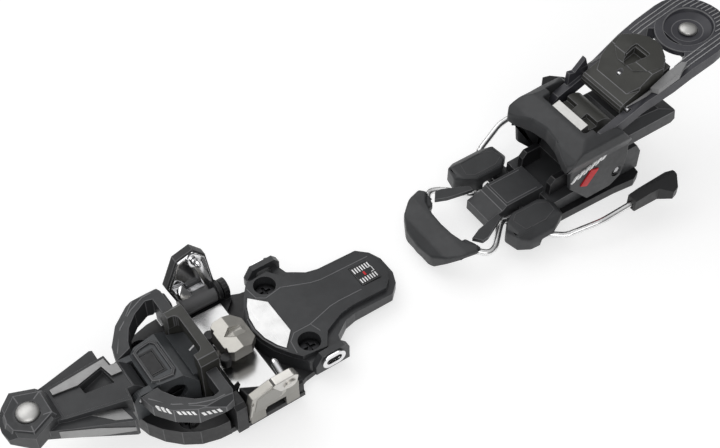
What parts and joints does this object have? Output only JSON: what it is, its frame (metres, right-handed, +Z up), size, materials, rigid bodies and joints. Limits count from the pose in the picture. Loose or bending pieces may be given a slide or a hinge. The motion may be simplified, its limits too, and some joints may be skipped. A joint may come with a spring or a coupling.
{
  "type": "alpine touring ski binding",
  "caption": "Pin-type alpine touring ski binding: toe unit with two leaning pin arms and a front lever, and a heel unit with a hooded jaw, lever, climbing aid and wire ski brake.",
  "frame": {"origin": "on the underside of the toe unit, on the centre line below the toe pins", "axes": "+X towards the ski tip, +Y towards the left edge of the ski, +Z up from the ski top sheet"},
  "size_m": [0.4605, 0.117, 0.083],
  "materials": {
    "graphite_plastic": "fine moulded grain, satin",
    "black_plastic": "fine moulded grain, satin",
    "olive_plastic": "moulded, satin, slightly brown",
    "bluish_plastic": "moulded, satin, slightly blue",
    "light_grey_plastic": "moulded, satin",
    "carbon_composite": "short-fibre carbon composite, satin",
    "cast_alloy": "cast, bead blasted, warm silver",
    "polished_steel": "polished",
    "spring_steel": "ground",
    "black_steel": "blackened, satin",
    "brushed_metal": "fine brushed"
  },
  "bodies": {
    "base": {"toe_base": "black_plastic", "toe_rear_plate": "carbon_composite", "toe_badge": "brushed_metal", "toe_scale": "black_plastic", "toe_rear_screw_left": "black_steel", "toe_rear_screw_right": "black_steel", "toe_front_screw_left": "black_steel", "toe_front_screw_right": "black_steel", "lug_eyelet_left": "polished_steel", "lug_eyelet_right": "polished_steel", "guard_loop_left": "graphite_plastic", "guard_loop_right": "graphite_plastic", "toe_housing": "graphite_plastic", "toe_bridge": "olive_plastic", "mode_window": "black_plastic", "toe_spring": "spring_steel", "toe_release_screw": "black_steel"},
    "front_lever": {"front_lever": "graphite_plastic", "lever_inlay": "brushed_metal", "lever_button": "polished_steel", "lever_axle": "spring_steel"},
    "toe_slide": {"slide_carrier": "black_plastic", "slide_plate": "polished_steel", "arm_axle_left": "spring_steel", "arm_axle_right": "spring_steel"},
    "trigger": {"trigger": "cast_alloy"},
    "arm_left": {"arm_left": "cast_alloy", "toe_pin_left": "polished_steel"},
    "arm_right": {"arm_right": "cast_alloy", "toe_pin_right": "polished_steel"},
    "heel_track": {"heel_base": "black_plastic"},
    "heel_carriage": {"heel_carriage": "graphite_plastic", "spring_housing": "graphite_plastic", "heel_spring": "spring_steel", "heel_release_screw": "black_steel", "length_screw": "spring_steel", "heel_pad_left": "graphite_plastic", "heel_pad_right": "graphite_plastic", "power_rail_left": "black_plastic", "power_rail_right": "black_plastic", "jaw_axle": "spring_steel"},
    "brake": {"brake_plate": "graphite_plastic", "brake_wire_left": "polished_steel", "brake_wire_right": "polished_steel", "brake_tip_left": "black_plastic", "brake_tip_right": "black_plastic", "brake_link_left": "graphite_plastic", "brake_link_right": "graphite_plastic"},
    "heel_jaw": {"heel_jaw": "graphite_plastic", "cam_block": "olive_plastic", "heel_roller": "brushed_metal", "heel_lever_axle": "spring_steel"},
    "heel_lever": {"heel_lever": "bluish_plastic", "heel_lever_button": "polished_steel", "riser_flap": "light_grey_plastic", "climbing_aid_axle": "spring_steel"},
    "climbing_aid": {"climbing_aid": "olive_plastic", "climbing_aid_rivet": "polished_steel"}
  },
  "joints": [
    {"name": "front_lever_hinge", "type": "hinge", "parent": "base", "child": "front_lever", "pos_m": [0.062, 0, 0.027], "axis": [0, -1, 0], "range_deg": [-14, 30]},
    {"name": "toe_release_slide", "type": "slide", "parent": "base", "child": "toe_slide", "axis": [0, 1, 0], "range_m": [-0.01, 0.01], "stiffness_N_per_m": 4000},
    {"name": "arm_left_hinge", "type": "hinge", "parent": "toe_slide", "child": "arm_left", "pos_m": [0, 0.037, 0.0125], "axis": [1, 0, 0], "range_deg": [0, 18]},
    {"name": "arm_right_hinge", "type": "hinge", "parent": "toe_slide", "child": "arm_right", "pos_m": [0, -0.037, 0.0125], "axis": [-1, 0, 0], "range_deg": [0, 18]},
    {"name": "trigger_press", "type": "slide", "parent": "toe_slide", "child": "trigger", "axis": [0, 0, -1], "range_m": [0, 0.004]},
    {"name": "heel_mount_position", "type": "slide", "parent": "base", "child": "heel_track", "axis": [-1, 0, 0], "range_m": [0, 0.11]},
    {"name": "heel_length_adjust", "type": "slide", "parent": "heel_track", "child": "heel_carriage", "axis": [-1, 0, 0], "range_m": [-0.0125, 0.0125]},
    {"name": "brake_hinge", "type": "hinge", "parent": "heel_carriage", "child": "brake", "pos_m": [-0.183, 0, 0.011], "axis": [0, -1, 0], "range_deg": [0, 45]},
    {"name": "jaw_release", "type": "hinge", "parent": "heel_carriage", "child": "heel_jaw", "pos_m": [-0.243, 0, 0.02], "axis": [0, -1, 0], "range_deg": [0, 15]},
    {"name": "heel_lever_hinge", "type": "hinge", "parent": "heel_jaw", "child": "heel_lever", "pos_m": [-0.232, 0, 0.046], "axis": [0, 1, 0], "range_deg": [0, 35]},
    {"name": "climbing_aid_flip", "type": "hinge", "parent": "heel_lever", "child": "climbing_aid", "pos_m": [-0.249, 0, 0.061], "axis": [0, 1, 0], "range_deg": [0, 90]}
  ],
  "couplings": [
    {"joint": "arm_left_hinge", "follows": "trigger_press", "rad_per_m": 78.5},
    {"joint": "arm_right_hinge", "follows": "trigger_press", "rad_per_m": 78.5}
  ]
}
